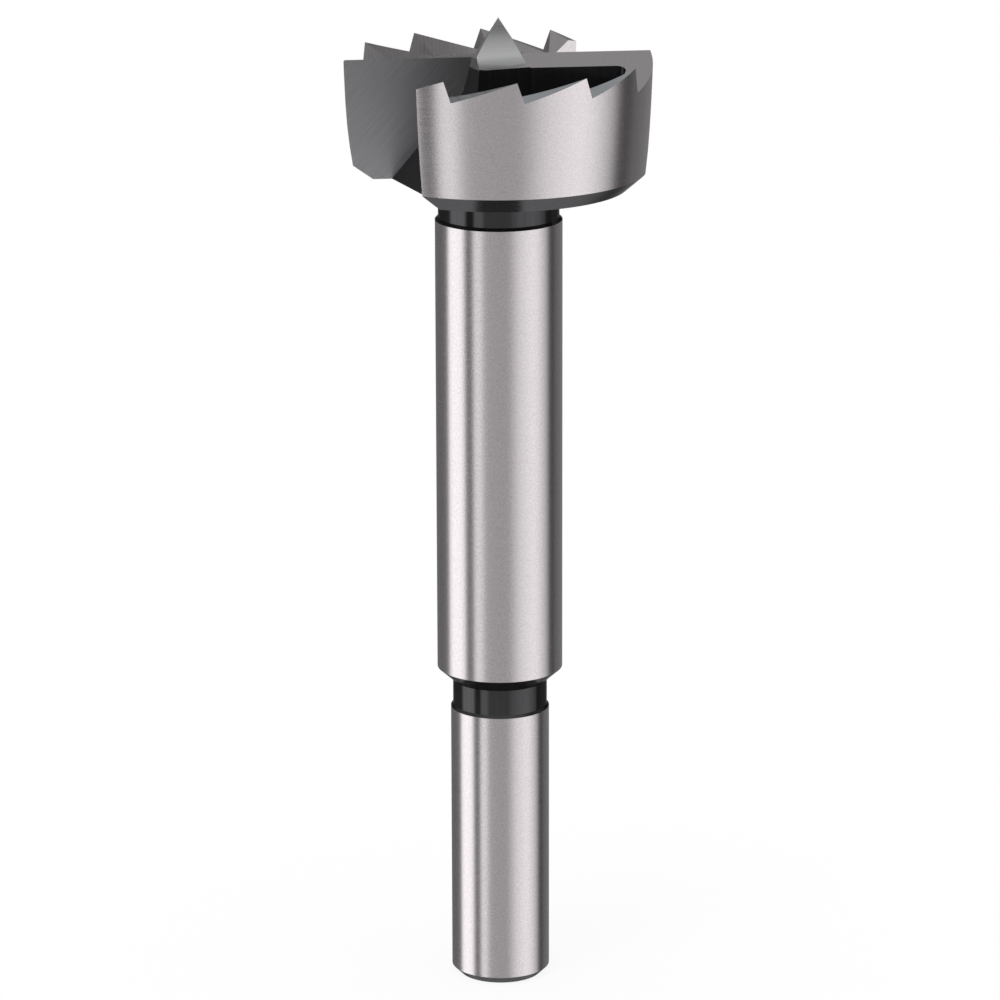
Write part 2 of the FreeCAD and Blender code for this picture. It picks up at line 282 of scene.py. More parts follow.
@dataclass(frozen=True)
class WheelGround(Finish):
    """Tool steel ground flat or hollow with a wheel, which leaves parallel marks.

    The marks run one way over the face, as fine streaks of a lighter and a darker grey with a
    little relief. The pattern lies in the plane of |X| and Z, or of |X| and Y on a flat face, so
    the marks on the second lip are those of the first after half a turn, or run the same way.
    """

    light: str = "#d9d4d6"
    dark: str = "#bfbabc"
    smooth: float = 0.22
    rough: float = 0.36
    lean: float = 0.0
    flat: bool = False
    mark_mm: float = 0.12
    run_mm: float = 6.0
    relief_um: float = 1.6

    def shade(self, tree: bpy.types.NodeTree, place: bpy.types.NodeSocket) -> bpy.types.NodeSocket:
        """Builds the wheel-marked steel's shader.

        Args:
            tree: The material's tree.
            place: Object coordinates in metres.

        Returns:
            The shader's output socket.
        """
        axes = add_node(tree, "ShaderNodeSeparateXYZ", {"Vector": place}).outputs
        across = add_node(
            tree, "ShaderNodeMath", {0: axes["X"]}, operation="ABSOLUTE"
        ).outputs["Value"]
        sheet = add_node(
            tree, "ShaderNodeCombineXYZ", {"X": across, "Y": axes["Y" if self.flat else "Z"]}
        ).outputs["Vector"]
        turned = add_node(
            tree, "ShaderNodeVectorRotate", {"Vector": sheet, "Angle": math.radians(self.lean)}
        ).outputs["Vector"]
        stretch = (per_metre(self.run_mm), per_metre(self.mark_mm), 1.0)
        along = add_node(
            tree, "ShaderNodeMapping", {"Vector": turned, "Scale": stretch}
        ).outputs["Vector"]
        marks = add_node(
            tree, "ShaderNodeTexNoise", {"Vector": along, "Scale": 1.0, "Detail": 3.0}
        ).outputs["Fac"]
        bump = add_node(
            tree,
            "ShaderNodeBump",
            {"Height": marks, "Distance": self.relief_um * MICRON, "Strength": 1.0},
        ).outputs["Normal"]
        return self.patterned(tree, marks, marks, {"Metallic": 1.0, "Normal": bump})


class Surface(Enum):
    """The tool's finishes, each by the faces that carry it."""

    # shank, body and the outside of the rim: warm pale satin with soft upright highlights
    GROUND = GroundSteel("satin_ground_steel")
    # groove, neck and the underside of the head: turned before blackening, so it mirrors crisply
    TURNED = BlackOxide("turned_black_oxide")
    # gullets and pockets: milled before blackening, deeper black with only a dull sheen
    MILLED = BlackOxide(
        "milled_black_oxide",
        light="#353536",
        dark="#28282a",
        rough=0.22,
        steel_through=0.7,
    )
    # black walls beside the point that its wheel has just touched: a small mid-grey patch
    GRAZED = WheelGround("grazed_black_oxide", light="#929091", dark="#787678")
    # top of the bore, ground back to steel with the bevel: a dull pale band under the teeth
    BORE_EDGE = WheelGround(
        "bore_edge_ground_steel",
        light="#e6e4e5",
        dark="#cac8ca",
        smooth=0.55,
        rough=0.7,
    )
    # rake faces: a coarse wheel leaves slanting marks, so the grey changes softly over the face
    RAKE = WheelGround(
        "rake_wheel_ground_steel",
        light="#dad9dc",
        dark="#adacb0",
        smooth=0.38,
        rough=0.48,
        lean=52.0,
    )
    # lands and the bevels beside the teeth: ground square to the lip, an even mid grey
    LAND = WheelGround("land_wheel_ground_steel", lean=90.0, flat=True, run_mm=3.0)
    # floors of the gaps between the teeth: a finer wheel and a little paler; their cooler, bluish tint
    # is a painted reflection of a blue-grey surround
    FLANK = WheelGround(
        "tooth_wheel_ground_steel",
        light="#d6dade",
        dark="#bcc1c6",
        mark_mm=0.15,
        run_mm=2.0,
    )
    # centre point: a small fine wheel, nearly polished, with bright and dark bands down the hollow
    HOLLOW = WheelGround(
        "hollow_ground_steel",
        light="#dcdcdc",
        dark="#c4c5c5",
        smooth=0.14,
        rough=0.24,
        mark_mm=0.1,
        run_mm=3.0,
    )


def finish_piece(obj: bpy.types.Object) -> bpy.types.Object:
    """Hands a finished piece to the frame: it rides on the one body and stands for the CAD node.

    Args:
        obj: The piece, at the origin.

    Returns:
        The same piece.
    """
    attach(obj, "root")
    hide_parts(CAD_NODE)
    return obj


@dataclass(frozen=True)
class TurnedRun:
    """One turned run of the stem, with its sizes in millimetres and whether it is black."""

    name: str
    length: float
    foot: float
    top: float
    black: bool

    def inputs(self) -> dict[str, float]:
        """Gives the run's sizes as inputs of the stem's tree.

        Returns:
            The length and the radius at its foot and at its top, in metres, by input name.
        """
        return {
            f"{self.name} Length": self.length * MM,
            f"{self.name} Foot Radius": self.foot * MM,
            f"{self.name} Top Radius": self.top * MM,
        }


@dataclass
class TurnedStem:
    """Shank, groove, body and neck, turned in one chucking.

    Sizes are in millimetres. The neck's root runs on into the head, and edges that turn by more
    than the crease, in degrees, stay sharp.
    """

    shank_radius: float = 5.0
    shank_length: float = 28.7
    end_break: float = 0.8
    groove_radius: float = 4.78
    groove_break: float = 0.28
    groove_length: float = 2.61
    shoulder_length: float = 1.38
    body_radius: float = 6.35
    body_length: float = 46.33
    body_break: float = 0.3
    neck_radius: float = 6.04
    neck_length: float = 3.07
    root_length: float = 1.2
    facets: int = 160
    crease: float = 12.0

    def runs(self) -> list[TurnedRun]:
        """Lists the turned runs from the shank's end up.

        Returns:
            The runs.
        """
        shank, groove = self.shank_radius, self.groove_radius
        body, neck = self.body_radius, self.neck_radius
        return [
            TurnedRun("End Break", self.end_break, shank - self.end_break, shank, True),
            TurnedRun("Shank", self.shank_length - self.end_break, shank, shank, False),
            TurnedRun("Shank Break", self.groove_break, shank, groove, True),
            TurnedRun("Groove", self.groove_length, groove, groove, True),
            TurnedRun("Shoulder", self.shoulder_length, groove, body, True),
            TurnedRun("Body", self.body_length, body, body, False),
            TurnedRun("Body Break", self.body_break, body, neck, True),
            TurnedRun("Neck", self.neck_length + self.root_length, neck, neck, True),
        ]

    def run_group(self) -> bpy.types.NodeTree:
        """Builds the node group of one turned run, a ring wall on top of the last one.

        Returns:
            The group, whose outputs are the wall and the height where it ends.
        """
        group = bpy.data.node_groups.new("turned_run", "GeometryNodeTree")
        sockets = (
            ("Start", "NodeSocketFloat"),
            ("Length", "NodeSocketFloat"),
            ("Foot Radius", "NodeSocketFloat"),
            ("Top Radius", "NodeSocketFloat"),
            ("Facets", "NodeSocketInt"),
            ("Blackened", "NodeSocketBool"),
        )
        for name, kind in sockets:
            group.interface.new_socket(name, in_out="INPUT", socket_type=kind)
        group.interface.new_socket("Wall", in_out="OUTPUT", socket_type="NodeSocketGeometry")
        group.interface.new_socket("End", in_out="OUTPUT", socket_type="NodeSocketFloat")
        given = add_node(group, "NodeGroupInput").outputs
        wall = add_node(
            group,
            "GeometryNodeMeshCone",
            {
                "Vertices": given["Facets"],
                "Radius Top": given["Top Radius"],
                "Radius Bottom": given["Foot Radius"],
                "Depth": given["Length"],
            },
            fill_type="NONE",
        ).outputs["Mesh"]
        marked = self.placed(group, wall, given["Start"], given["Blackened"])
        end = add_node(
            group, "ShaderNodeMath", {0: given["Start"], 1: given["Length"]}, operation="ADD"
        ).outputs["Value"]
        add_node(group, "NodeGroupOutput", {"Wall": marked, "End": end})
        return group

    def placed(
        self, tree: bpy.types.NodeTree, mesh: bpy.types.NodeSocket, height: Value, black: Value
    ) -> bpy.types.NodeSocket:
        """Lifts a mesh to its height and marks its faces as black or bright.

        Args:
            tree: The tree or group that the mesh is made in.
            mesh: The mesh.
            height: Its height above the shank's end.
            black: Whether its faces are black.

        Returns:
            The lifted and marked mesh.
        """
        lift = add_node(tree, "ShaderNodeCombineXYZ", {"Z": height}).outputs["Vector"]
        lifted = add_node(
            tree, "GeometryNodeTransform", {"Geometry": mesh, "Translation": lift}
        ).outputs["Geometry"]
        return add_node(
            tree,
            "GeometryNodeStoreNamedAttribute",
            {"Geometry": lifted, "Name": MARK, "Value": black},
            data_type="BOOLEAN",
            domain="FACE",
        ).outputs["Geometry"]

    def stem_tree(self) -> bpy.types.NodeTree:
        """Builds the tree that stacks the runs, closes both ends and sets the two finishes.

        Returns:
            The tree, with one named input for each size.
        """
        tree = bpy.data.node_groups.new("turned_stem", "GeometryNodeTree")
        sockets = [(name, "NodeSocketFloat") for run in self.runs() for name in run.inputs()]
        sockets.append(("Facets", "NodeSocketInt"))
        sockets.append(("Ground Finish", "NodeSocketMaterial"))
        sockets.append(("Black Finish", "NodeSocketMaterial"))
        for name, kind in sockets:
            tree.interface.new_socket(name, in_out="INPUT", socket_type=kind)
        tree.interface.new_socket("Stem", in_out="OUTPUT", socket_type="NodeSocketGeometry")
        given = add_node(tree, "NodeGroupInput").outputs
        group = self.run_group()
        joined = add_node(tree, "GeometryNodeJoinGeometry")
        start: Value = 0.0
        for run in self.runs():
            inputs = {
                "Start": start,
                "Length": given[f"{run.name} Length"],
                "Foot Radius": given[f"{run.name} Foot Radius"],
                "Top Radius": given[f"{run.name} Top Radius"],
                "Facets": given["Facets"],
                "Blackened": run.black,
            }
            turned = add_node(tree, "GeometryNodeGroup", inputs, node_tree=group)
            tree.links.new(turned.outputs["Wall"], joined.inputs["Geometry"])
            start = turned.outputs["End"]
        for radius, height in (("End Break Foot Radius", 0.0), ("Neck Top Radius", start)):
            disc = add_node(
                tree,
                "GeometryNodeMeshCircle",
                {"Vertices": given["Facets"], "Radius": given[radius]},
                fill_type="NGON",
            ).outputs["Mesh"]
            tree.links.new(self.placed(tree, disc, height, True), joined.inputs["Geometry"])
        welded = add_node(
            tree,
            "GeometryNodeMergeByDistance",
            {"Geometry": joined.outputs["Geometry"], "Distance": WELD},
        ).outputs["Geometry"]
        real = add_node(tree, "GeometryNodeRealizeInstances", {"Geometry": welded}).outputs["Geometry"]
        ground = add_node(
            tree, "GeometryNodeSetMaterial", {"Geometry": real, "Material": given["Ground Finish"]}
        ).outputs["Geometry"]
        black_faces = add_node(
            tree, "GeometryNodeInputNamedAttribute", {"Name": MARK}, data_type="BOOLEAN"
        ).outputs["Attribute"]
        dressed = add_node(
            tree,
            "GeometryNodeSetMaterial",
            {"Geometry": ground, "Selection": black_faces, "Material": given["Black Finish"]},
        ).outputs["Geometry"]
        add_node(tree, "NodeGroupOutput", {"Stem": dressed})
        return tree

    def build(self) -> bpy.types.Object:
        """Runs the tree and turns its result into a plain mesh with crisp turned edges.

        Returns:
            The stem.
        """
        tree = self.stem_tree()
        carrier = bpy.data.objects.new("stem_carrier", bpy.data.meshes.new("stem_carrier"))
        bpy.context.scene.collection.objects.link(carrier)
        modifier = carrier.modifiers.new("turned_stem", "NODES")
        modifier.node_group = tree
        values: dict[str, object] = {
            "Facets": self.facets,
            "Ground Finish": Surface.GROUND.value.material(),
            "Black Finish": Surface.TURNED.value.material(),
        }
        for run in self.runs():
            values.update(run.inputs())
        for item in tree.interface.items_tree:
            if item.in_out == "INPUT" and item.name in values:
                modifier[item.identifier] = values[item.name]
        depsgraph = bpy.context.evaluated_depsgraph_get()
        mesh = bpy.data.meshes.new_from_object(carrier.evaluated_get(depsgraph))
        mesh.name = "stem"
        bpy.data.objects.remove(carrier)
        self.crisp(mesh)
        stem = bpy.data.objects.new("stem", mesh)
        bpy.context.scene.collection.objects.link(stem)
        return finish_piece(stem)

    def crisp(self, mesh: bpy.types.Mesh) -> None:
        """Turns the faces outwards and keeps the turned corners sharp.

        Args:
            mesh: The stem's mesh, changed in place.
        """
        work = bmesh.new()
        work.from_mesh(mesh)
        bmesh.ops.recalc_face_normals(work, faces=work.faces)
        for edge in work.edges:
            edge.smooth = edge.calc_face_angle(0.0) < math.radians(self.crease)
        for face in work.faces:
            face.smooth = True
        work.to_mesh(mesh)
        work.free()


class Zone(Enum):
    """The kinds of face on the cutting head."""

    RIM = "rim"
    RIM_END = "rim end"
    FOOT = "foot"
    GULLET = "gullet"
    POCKET = "pocket"
    RAKE = "rake"
    LAND = "land"
    TOOTH = "tooth"
    FLANK = "flank"
    POINT = "point"

    @property
    def surface(self) -> Surface:
        """Gives the finish of this kind of face.

        Returns:
            The finish.
        """
        own = {
            Zone.FOOT: Surface.TURNED,
            Zone.GULLET: Surface.MILLED,
            Zone.POCKET: Surface.MILLED,
            Zone.RIM: Surface.GROUND,
            Zone.RIM_END: Surface.GROUND,
            Zone.RAKE: Surface.RAKE,
            Zone.FLANK: Surface.FLANK,
            Zone.POINT: Surface.HOLLOW,
        }
        return own.get(self, Surface.LAND)


@dataclass
class Patch:
    """A smooth run of faces on the head between sharp edges.

    It reaches from low to high above the shank's end, and inner is how near it comes to the axis,
    all in millimetres. Its area is in square millimetres, its normal the mean of its faces'.
    """

    faces: list[bmesh.types.BMFace]
    area: float = 0.0
    normal: Vector = field(default_factory=Vector)
    low: float = 0.0
    high: float = 0.0
    inner: float = 0.0

    def __post_init__(self) -> None:
        """Measures the patch from its faces."""
        self.area = sum(face.calc_area() for face in self.faces) / MM**2
        total = sum((face.normal * face.calc_area() for face in self.faces), Vector()) / MM**2
        self.normal = total / max(self.area, 1e-6)
        corners = [corner.co for face in self.faces for corner in face.verts]
        self.low = min(co.z for co in corners) / MM
        self.high = max(co.z for co in corners) / MM
        self.inner = min(math.hypot(co.x, co.y) for co in corners) / MM


@dataclass
class CuttingHead:
    """The head with its rim, saw teeth, lips, gullets, pockets and centre point.

    Heights above the shank's end and radii are in millimetres, areas in square millimetres and
    angles in degrees. A face looks up, looks down or stands upright by the Z of its normal, and
    the slacks are how far a corner may lie from a size and still count as on it.
    """

    underside: float = 82.67
    overlap: float = 0.02
    foot_top: float = 84.22
    lip: float = 95.72
    tip: float = 99.48
    rim_radius: float = 15.25
    foot_radius: float = 14.65
    bore_radius: float = 12.7
    core_radius: float = 3.0
    crown_radius: float = 200.0
    rake_hollow: float = 3.5
    crease: float = 9.0
    slack: float = 0.05
    chord_slack: float = 0.06
    looks_up: float = 0.9
    looks_down: float = -0.5
    upright: float = 0.1
    steep: float = 0.4
    sideways: float = 0.7
    rake_lean: tuple[float, float] = (-0.45, -0.3)
    rim_area: float = 100.0
    lowest_land: float = 92.22
    ground_above: float = 94.7
    band_above: float = 92.9
    gullet_above: float = 88.0
    gullet_reach: float = 8.0

    def build(self) -> bpy.types.Object:
        """Copies the CAD mesh, cuts the stem off it, finds its faces' zones and dresses them.

        Returns:
            The head.
        """
        work = self.copy_cad()
        patches = self.patches(work)
        surfaces = list(Surface)
        normals: dict[tuple[int, int], Vector] = {}
        for patch in patches:
            zone = self.zone(patch)
            for face in patch.faces:
                face.smooth = True
                face.material_index = surfaces.index(self.surface(zone, face))
            self.corner_normals(patch, zone, normals)
        corners = [
            normals[face.index, corner.vert.index] for face in work.faces for corner in face.loops
        ]
        mesh = bpy.data.meshes.new("head")
        work.to_mesh(mesh)
        work.free()
        for surface in surfaces:
            mesh.materials.append(surface.value.material())
        mesh.normals_split_custom_set(corners)
        head = bpy.data.objects.new("head", mesh)
        bpy.context.scene.collection.objects.link(head)
        return finish_piece(head)

    def copy_cad(self) -> bmesh.types.BMesh:
        """Copies the CAD node's mesh, merged, and keeps what stands above the neck.

        Returns:
            The head's closed mesh, split where the walls of gullets and pockets change finish.
        """
        work = bmesh.new()
        work.from_mesh(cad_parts[CAD_NODE].data)
        bmesh.ops.remove_doubles(work, verts=work.verts, dist=WELD)
        every = [*work.verts, *work.edges, *work.faces]
        under = Vector((0.0, 0.0, (self.underside - self.overlap) * MM))
        made = bmesh.ops.bisect_plane(
            work, geom=every, plane_co=under, plane_no=(0.0, 0.0, 1.0), clear_inner=True
        )
        rim = [item for item in made["geom_cut"] if isinstance(item, bmesh.types.BMEdge)]
        bmesh.ops.contextual_create(work, geom=rim)
        self.split(work, [face for face in work.faces if self.in_gullet(face)], self.ground_above)
        self.split(work, [face for face in work.faces if self.on_bore(face)], self.band_above)
        bmesh.ops.recalc_face_normals(work, faces=work.faces)
        work.verts.index_update()
        work.faces.index_update()
        return work

    def split(self, work: bmesh.types.BMesh, faces: list[bmesh.types.BMFace], height: float) -> None:
        """Cuts some faces along a level line, without opening the mesh.

        Args:
            work: The head's mesh, changed in place.
            faces: The faces to cut.
            height: The level of the cut, in millimetres.
        """
        edges = {edge for face in faces for edge in face.edges}
        points = {vert for face in faces for vert in face.verts}
        level = Vector((0.0, 0.0, height * MM))
        bmesh.ops.bisect_plane(
            work, geom=[*faces, *edges, *points], plane_co=level, plane_no=(0.0, 0.0, 1.0)
        )

    def on_bore(self, face: bmesh.types.BMFace) -> bool:
        """Tells whether a face belongs to the round outer wall of a pocket.

        Args:
            face: The face.

        Returns:
            True for a face of the round wall.
        """
        reach = [math.hypot(corner.co.x, corner.co.y) / MM for corner in face.verts]
        upright = abs(face.normal.z) < self.upright
        return upright and all(abs(r - self.bore_radius) < self.chord_slack for r in reach)

    def in_gullet(self, face: bmesh.types.BMFace) -> bool:
        """Tells whether a face belongs to a gullet's steep wall near the centre.

        Args:
            face: The face.

        Returns:
            True for a face of the steep wall.
        """
        middle = face.calc_center_median() / MM
        steep = abs(face.normal.z) < self.steep and abs(face.normal.x) > self.sideways
        near = math.hypot(middle.x, middle.y) < self.gullet_reach
        return steep and near and middle.z > self.gullet_above

    def patches(self, work: bmesh.types.BMesh) -> list[Patch]:
        """Groups the faces that meet without a crease.

        Args:
            work: The head's mesh.

        Returns:
            The patches.
        """
        found: list[Patch] = []
        seen: set[int] = set()
        for first in work.faces:
            if first.index in seen:
                continue
            seen.add(first.index)
            waiting, members = [first], []
            while waiting:
                face = waiting.pop()
                members.append(face)
                for edge in face.edges:
                    if edge.calc_face_angle(math.pi) > math.radians(self.crease):
                        continue
                    for other in edge.link_faces:
                        if other.index not in seen:
                            seen.add(other.index)
                            waiting.append(other)
            found.append(Patch(members))
        return found

    def zone(self, patch: Patch) -> Zone:
        """Names the kind of face that a patch is, from where it lies and which way it looks.

        Args:
            patch: The patch.

        Returns:
            Its zone.
        """
        normal = patch.normal
        if patch.inner > self.foot_radius - self.slack and patch.area > self.rim_area:
            return Zone.RIM
        if normal.z < self.looks_down or patch.high < self.foot_top + self.slack:
            return Zone.FOOT
        if abs(normal.y) > self.looks_up and self.rake_lean[0] < normal.z < self.rake_lean[1]:
            return Zone.RAKE
        if patch.high > self.tip - self.slack:
            return Zone.POINT
        if patch.inner > self.bore_radius - self.slack:
            if abs(normal.z) < self.upright:
                return Zone.RIM_END
            return Zone.FLANK if normal.z > self.looks_up else Zone.TOOTH
        if normal.z > self.looks_up and patch.low > self.lowest_land:
            return Zone.LAND
        if patch.low < self.underside + self.slack and patch.inner < self.core_radius:
            return Zone.GULLET
        return Zone.POCKET

    def surface(self, zone: Zone, face: bmesh.types.BMFace) -> Surface:
        """Gives the finish of one face.

        Args:
            zone: The zone of the face's patch.
            face: The face.

        Returns:
            The finish; wheels have touched the black walls beside the point and under the teeth.
        """
        foot = min(corner.co.z for corner in face.verts) / MM + self.slack
        if zone is Zone.GULLET and foot > self.ground_above:
            return Surface.GRAZED
        if zone is Zone.POCKET and foot > self.band_above and self.on_bore(face):
            return Surface.BORE_EDGE
        return zone.surface

    def corner_normals(self, patch: Patch, zone: Zone, normals: dict[tuple[int, int], Vector]) -> None:
        """Works out the shading normals of a patch, so that round faces shade as round.

        Args:
            patch: The patch.
            zone: Its zone.
            normals: Gets a normal for each pair of face and corner number.
        """
        mean: dict[int, Vector] = {}
        for face in patch.faces:
            for corner in face.loops:
                key = corner.vert.index
                mean[key] = mean.get(key, Vector()) + face.normal * corner.calc_angle()
        for face in patch.faces:
            for corner in face.loops:
                normal = mean[corner.vert.index].normalized()
                if zone is Zone.RIM:
                    normal = self.crown_normal(corner.vert.co)
                elif zone is Zone.RAKE:
                    normal = self.hollow_normal(normal, corner.vert.co)
                normals[face.index, corner.vert.index] = normal

    def hollow_normal(self, flat: Vector, co: Vector) -> Vector:
        """Leans a rake face's normal as the rim of the grinding wheel hollows the face.

        Args:
            flat: The normal of the flat face.
            co: The point, in metres.

        Returns:
            The unit normal, which looks higher at the face's foot and lower at the lip.
        """
        middle = (self.lip + self.foot_top) / 2
        share = (middle - co.z / MM) / (self.lip - middle)
        rise = Vector((0.0, 0.0, math.tan(math.radians(self.rake_hollow)) * share))
        return (flat + rise).normalized()

    def crown_normal(self, co: Vector) -> Vector:
        """Gives the exact normal of the slightly bulged rim at a point.

        Args:
            co: The point, in metres.

        Returns:
            The unit normal.
        """
        rise = self.lip - self.foot_top
        chord = math.atan2(self.rim_radius - self.foot_radius, rise)
        half = math.asin(rise / 2 / math.cos(chord) / self.crown_radius)
        share = (co.z / MM - self.foot_top) / rise
        slope = chord + half * (1 - 2 * share)
        out = Vector((co.x, co.y, 0.0)).normalized()
        return (out * math.cos(slope) - Vector((0.0, 0.0, math.sin(slope)))).normalized()


@dataclass(frozen=True)
class SoftStep:
    """A soft step between two levels of light, along one axis of the directions round the tool.

    The axis X points at the camera, Y to the camera's right and Z up.
    """

    axis: str
    start: float
    end: float
    before: float
    after: float

    def inputs(self, axes: bpy.types.bpy_prop_collection) -> dict[str, Value]:
        """Gives the inputs of the node that makes the step.

        Args:
            axes: The direction's three parts, as sockets.

        Returns:
            The inputs by name.
        """
        return {
            "Value": axes[self.axis],
            "From Min": self.start,
            "From Max": self.end,
            "To Min": self.before,
            "To Max": self.after,
        }


@dataclass
class Studio:
    """A pale floor, a white surround, soft boxes seen in the steel, and one soft lamp.

    Lengths are in metres. The boxes stand round the tool by bearing, in degrees from the camera
    towards its right, each with its brightness; the front ceiling is laid out by the direction's Z.
    """

    floor_size: float = 6.0
    floor_paint: str = "#f7f7f7"
    glow_reach: tuple[float, float] = (0.01, 0.06)
    glow_share: tuple[float, float] = (0.9, 1.0)
    lamp_power: float = 9.0
    lamp_size: float = 0.8
    lamp_place: tuple[float, float, float] = (-0.7, -0.8, 1.3)
    lamp_aim: tuple[float, float, float] = (0.0, 0.0, 0.05)
    surround: float = 0.75
    camera_bearing: float = -6.384
    boxes: tuple[tuple[float, float], ...] = (
        (-180.0, 0.35),
        (-165.0, 0.16),
        (-108.0, 0.15),
        (-101.0, 1.52),
        (-69.5, 1.48),
        (-62.0, 0.07),
        (-50.0, 0.07),
        (-46.0, 1.15),
        (-33.0, 1.05),
        (-26.0, 0.48),
        (17.0, 0.44),
        (38.0, 0.95),
        (64.0, 1.2),
        (76.0, 1.1),
        (87.0, 0.8),
        (98.0, 0.5),
        (104.0, 0.05),
        (115.0, 0.05),
        (124.0, 0.16),
        (165.0, 0.24),
        (180.0, 0.35),
    )
    above_front: tuple[tuple[float, float], ...] = (
        (0.0, 0.33),
        (0.13, 0.3),
        (0.26, 0.19),
        (0.38, 0.25),
        (0.51, 0.41),
        (0.73, 0.57),
        (0.83, 0.7),
        (0.88, 0.4),
        (0.93, 0.08),
        (1.0, 0.08),
    )
    front_left: SoftStep = SoftStep("Y", -0.4, -0.75, 1.0, 0.55)
    above_back: SoftStep = SoftStep("Y", 0.14, 0.3, 0.38, 0.2)
    back_low: SoftStep = SoftStep("Z", 0.45, 0.2, 1.0, 0.25)
    back_to_front: SoftStep = SoftStep("X", 0.0, 0.25, 0.0, 1.0)
    boxes_to_ceiling: SoftStep = SoftStep("Z", -0.06, 0.12, 0.0, 1.0)
    boxes_to_ground: SoftStep = SoftStep("Z", -0.55, -0.8, 0.0, 1.0)
    ground: SoftStep = SoftStep("X", 0.05, -0.3, 0.21, 1.5)

    def build(self) -> None:
        """Builds the floor, the lamp and the surround."""
        self.floor()
        self.lamp()
        self.world()

    def floor(self) -> None:
        """Lays the floor, which the camera sees as white with the tool's soft shadow."""
        bpy.ops.mesh.primitive_plane_add(size=self.floor_size)
        floor = bpy.context.object
        floor.name = "floor"
        floor.visible_glossy = False
        material = bpy.data.materials.new("matt_white_floor")
        material.use_nodes = True
        tree = material.node_tree
        tree.nodes.clear()
        card = add_node(
            tree, "ShaderNodeBsdfDiffuse", {"Color": linear(self.floor_paint)}
        ).outputs["BSDF"]
        glow = add_node(
            tree, "ShaderNodeEmission", {"Color": linear("#ffffff"), "Strength": 1.0}
        ).outputs["Emission"]
        place = add_node(tree, "ShaderNodeTexCoord").outputs["Object"]
        reach = add_node(
            tree, "ShaderNodeVectorMath", {0: place}, operation="LENGTH"
        ).outputs["Value"]
        faded = add_node(
            tree,
            "ShaderNodeMapRange",
            {
                "Value": reach,
                "From Min": self.glow_reach[0],
                "From Max": self.glow_reach[1],
                "To Min": self.glow_share[0],
                "To Max": self.glow_share[1],
            },
        ).outputs["Result"]
        seen = add_node(tree, "ShaderNodeLightPath").outputs["Is Camera Ray"]
        share = add_node(
            tree, "ShaderNodeMath", {0: faded, 1: seen}, operation="MULTIPLY"
        ).outputs["Value"]
        mixed = add_node(
            tree, "ShaderNodeMixShader", {0: share, 1: card, 2: glow}
        ).outputs["Shader"]
        add_node(tree, "ShaderNodeOutputMaterial", {"Surface": mixed})
        floor.data.materials.append(material)

    def lamp(self) -> None:
        """Hangs one large soft lamp above and to the left of the camera."""
        data = bpy.data.lights.new("soft_lamp", "AREA")
        data.energy = self.lamp_power
        data.size = self.lamp_size
        lamp = bpy.data.objects.new("soft_lamp", data)
        lamp.location = self.lamp_place
        aim = Vector(self.lamp_aim) - lamp.location
        lamp.rotation_euler = aim.to_track_quat("-Z", "Y").to_euler()
        lamp.visible_glossy = False
        bpy.context.scene.collection.objects.link(lamp)

    def world(self) -> None:
        """Sets the surround: white to the camera, plain to matt faces, soft boxes to bright steel."""
        world = bpy.data.worlds.new("studio")
        world.use_nodes = True
        world.cycles.sampling_method = "NONE"
        tree = world.node_tree
        tree.nodes.clear()
        path = add_node(tree, "ShaderNodeLightPath").outputs
        plain = add_node(
            tree, "ShaderNodeBackground", {"Color": linear("#ffffff"), "Strength": self.surround}
        ).outputs["Background"]
        white = add_node(
            tree, "ShaderNodeBackground", {"Color": linear("#ffffff"), "Strength": 1.0}
        ).outputs["Background"]
        boxes = add_node(
            tree, "ShaderNodeBackground", {"Color": self.box_colours(tree)}
        ).outputs["Background"]
        mirrored = add_node(
            tree, "ShaderNodeMixShader", {0: path["Is Glossy Ray"], 1: plain, 2: boxes}
        ).outputs["Shader"]
        seen = add_node(
            tree, "ShaderNodeMixShader", {0: path["Is Camera Ray"], 1: mirrored, 2: white}
        ).outputs["Shader"]
        add_node(tree, "ShaderNodeOutputWorld", {"Surface": seen})
        bpy.context.scene.world = world

    def box_colours(self, tree: bpy.types.NodeTree) -> bpy.types.NodeSocket:
        """Lays out what bright steel mirrors: the boxes by bearing, a ceiling and a ground.

        Args:
            tree: The world's tree.

        Returns:
            The colour in each direction.
        """
        way = add_node(tree, "ShaderNodeTexCoord").outputs["Generated"]
        facing = add_node(
            tree,
            "ShaderNodeVectorRotate",
            {"Vector": way, "Angle": math.radians(90.0 - self.camera_bearing)},
            rotation_type="Z_AXIS",
        ).outputs["Vector"]
        axes = add_node(tree, "ShaderNodeSeparateXYZ", {"Vector": facing}).outputs
        bearing = add_node(
            tree, "ShaderNodeMath", {0: axes["Y"], 1: axes["X"]}, operation="ARCTAN2"
        ).outputs["Value"]
        turn = add_node(
            tree, "ShaderNodeMapRange", {"Value": bearing, "From Min": -math.pi, "From Max": math.pi}
        ).outputs["Result"]
        sides = add_node(tree, "ShaderNodeValToRGB", {"Fac": turn})
        self.set_levels(sides, [((angle + 180) / 360, level) for angle, level in self.boxes])
        ceiling = add_node(tree, "ShaderNodeValToRGB", {"Fac": axes["Z"]})
        self.set_levels(ceiling, self.above_front)
        front_left, above_back, back_low, back_to_front, up, down, ground = (
            add_node(
                tree, "ShaderNodeMapRange", step.inputs(axes), interpolation_type="SMOOTHSTEP"
            ).outputs["Result"]
            for step in (
                self.front_left,
                self.above_back,
                self.back_low,
                self.back_to_front,
                self.boxes_to_ceiling,
                self.boxes_to_ground,
                self.ground,
            )
        )
        front = add_node(
            tree, "ShaderNodeMath", {0: ceiling.outputs["Color"], 1: front_left}, operation="MULTIPLY"
        ).outputs["Value"]
        back = add_node(
            tree, "ShaderNodeMath", {0: above_back, 1: back_low}, operation="MULTIPLY"
        ).outputs["Value"]
        colour = sides.outputs["Color"]
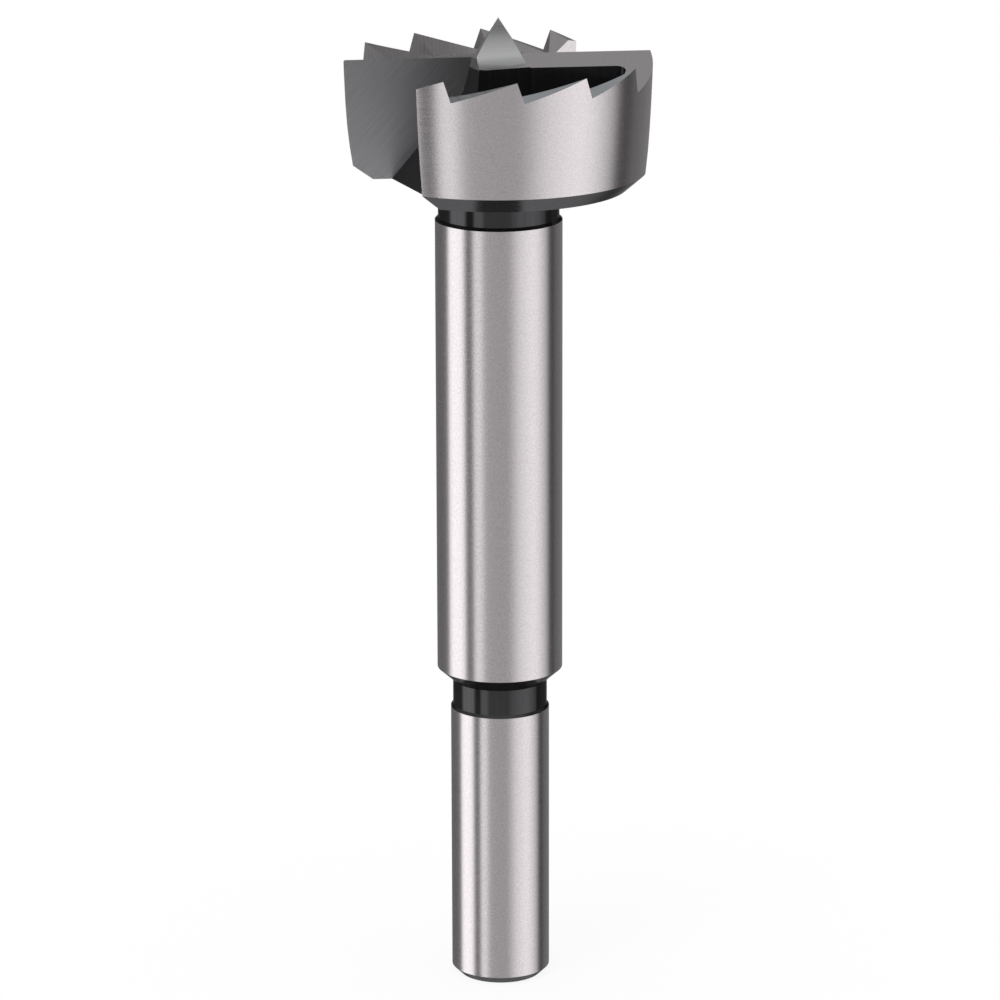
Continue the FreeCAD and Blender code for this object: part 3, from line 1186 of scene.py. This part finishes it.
        top = add_node(
            tree, "ShaderNodeMix", {"Factor": back_to_front, 6: back, 7: front}, data_type="RGBA"
        ).outputs[2]
        for share, over in ((up, top), (down, ground)):
            colour = add_node(
                tree, "ShaderNodeMix", {"Factor": share, 6: colour, 7: over}, data_type="RGBA"
            ).outputs[2]
        return colour

    def set_levels(self, ramp: bpy.types.Node, levels: Sequence[tuple[float, float]]) -> None:
        """Sets the stops of a ramp to a list of greys.

        Args:
            ramp: The ramp's node, changed in place.
            levels: Places along the ramp, from 0 to 1, each with its brightness.
        """
        stops = ramp.color_ramp.elements
        while len(stops) > 1:
            stops.remove(stops[-1])
        for number, (spot, level) in enumerate(levels):
            stop = stops[0] if number == 0 else stops.new(spot)
            stop.position = spot
            stop.color = (level, level, level, 1.0)


@dataclass
class PhotoCamera:
    """The camera as it stood for the photograph; lengths in millimetres, angles in degrees."""

    place: tuple[float, float, float] = (-53.27, -476.13, 182.52)
    target: tuple[float, float, float] = (0.0, 0.0, 50.29)
    lens: float = 177.38
    sensor: float = 36.0
    roll: float = -0.158
    shift: float = 0.00055
    clip_from: float = 10.0
    clip_to: float = 100_000.0

    def build(self) -> None:
        """Makes the camera the scene's own."""
        data = bpy.data.cameras.new("photo_camera")
        data.lens = self.lens
        data.sensor_width = self.sensor
        data.shift_x = self.shift
        data.clip_start = self.clip_from * MM
        data.clip_end = self.clip_to * MM
        camera = bpy.data.objects.new("photo_camera", data)
        place = Vector(self.place) * MM
        aim = (Vector(self.target) * MM - place).to_track_quat("-Z", "Y").to_matrix()
        turned = aim @ Matrix.Rotation(math.radians(self.roll), 3, "Z")
        camera.matrix_world = Matrix.Translation(place) @ turned.to_4x4()
        bpy.context.scene.collection.objects.link(camera)
        bpy.context.scene.camera = camera


def report(piece: bpy.types.Object) -> None:
    """Logs what a piece came out as.

    Args:
        piece: The finished piece.
    """
    mesh = piece.data
    counts = len(mesh.vertices), len(mesh.polygons), len(mesh.materials)
    LOG.info("%s: %d vertices, %d faces, %d materials", piece.name, *counts)


def main() -> None:
    """Builds the studio, the camera and the tool, piece by piece."""
    logging.basicConfig(level=logging.INFO, format="%(name)s: %(message)s")
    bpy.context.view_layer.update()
    bpy.context.scene.view_settings.view_transform = "Standard"
    PhotoCamera().build()
    Studio().build()
    for assembly in (TurnedStem(), CuttingHead()):
        report(assembly.build())


if __name__ == "__main__":
    main()
